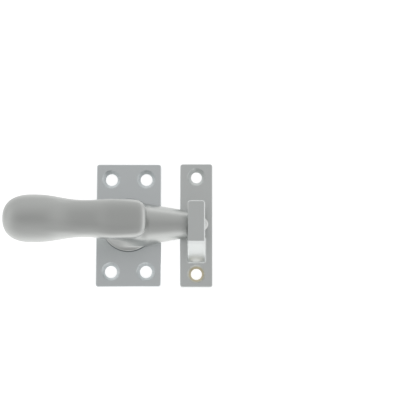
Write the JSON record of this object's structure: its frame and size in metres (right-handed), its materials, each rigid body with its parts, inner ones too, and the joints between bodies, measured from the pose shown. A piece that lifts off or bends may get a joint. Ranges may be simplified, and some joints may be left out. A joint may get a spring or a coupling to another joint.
{
  "type": "casement fastener",
  "caption": "Casement fastener with a pear-shaped grip on a turning lever, whose tapered nose goes under the hook of a keeper plate.",
  "frame": {"origin": "on the lever's pivot axis, in the plane of the back faces of both plates", "axes": "+X towards the keeper, +Y towards the open end of the keeper's hook, +Z out of the mounting plane towards the grip"},
  "size_m": [0.0983, 0.0608, 0.0416],
  "materials": {
    "satin_chrome": "satin brushed chrome plate on solid brass",
    "spring_steel": "bright spring steel",
    "plated_steel": "zinc-plated steel"
  },
  "bodies": {
    "base": {"base_plate": "satin_chrome", "keeper": "satin_chrome", "spring_washer": "spring_steel"},
    "lever": {"lever": "satin_chrome", "retaining_washer": "plated_steel", "pivot_screw": "plated_steel"}
  },
  "joints": [
    {"name": "lever_turn", "type": "hinge", "parent": "base", "child": "lever", "pos_m": [0, 0, 0], "axis": [0, 0, 1], "range_deg": [0, 180]}
  ]
}
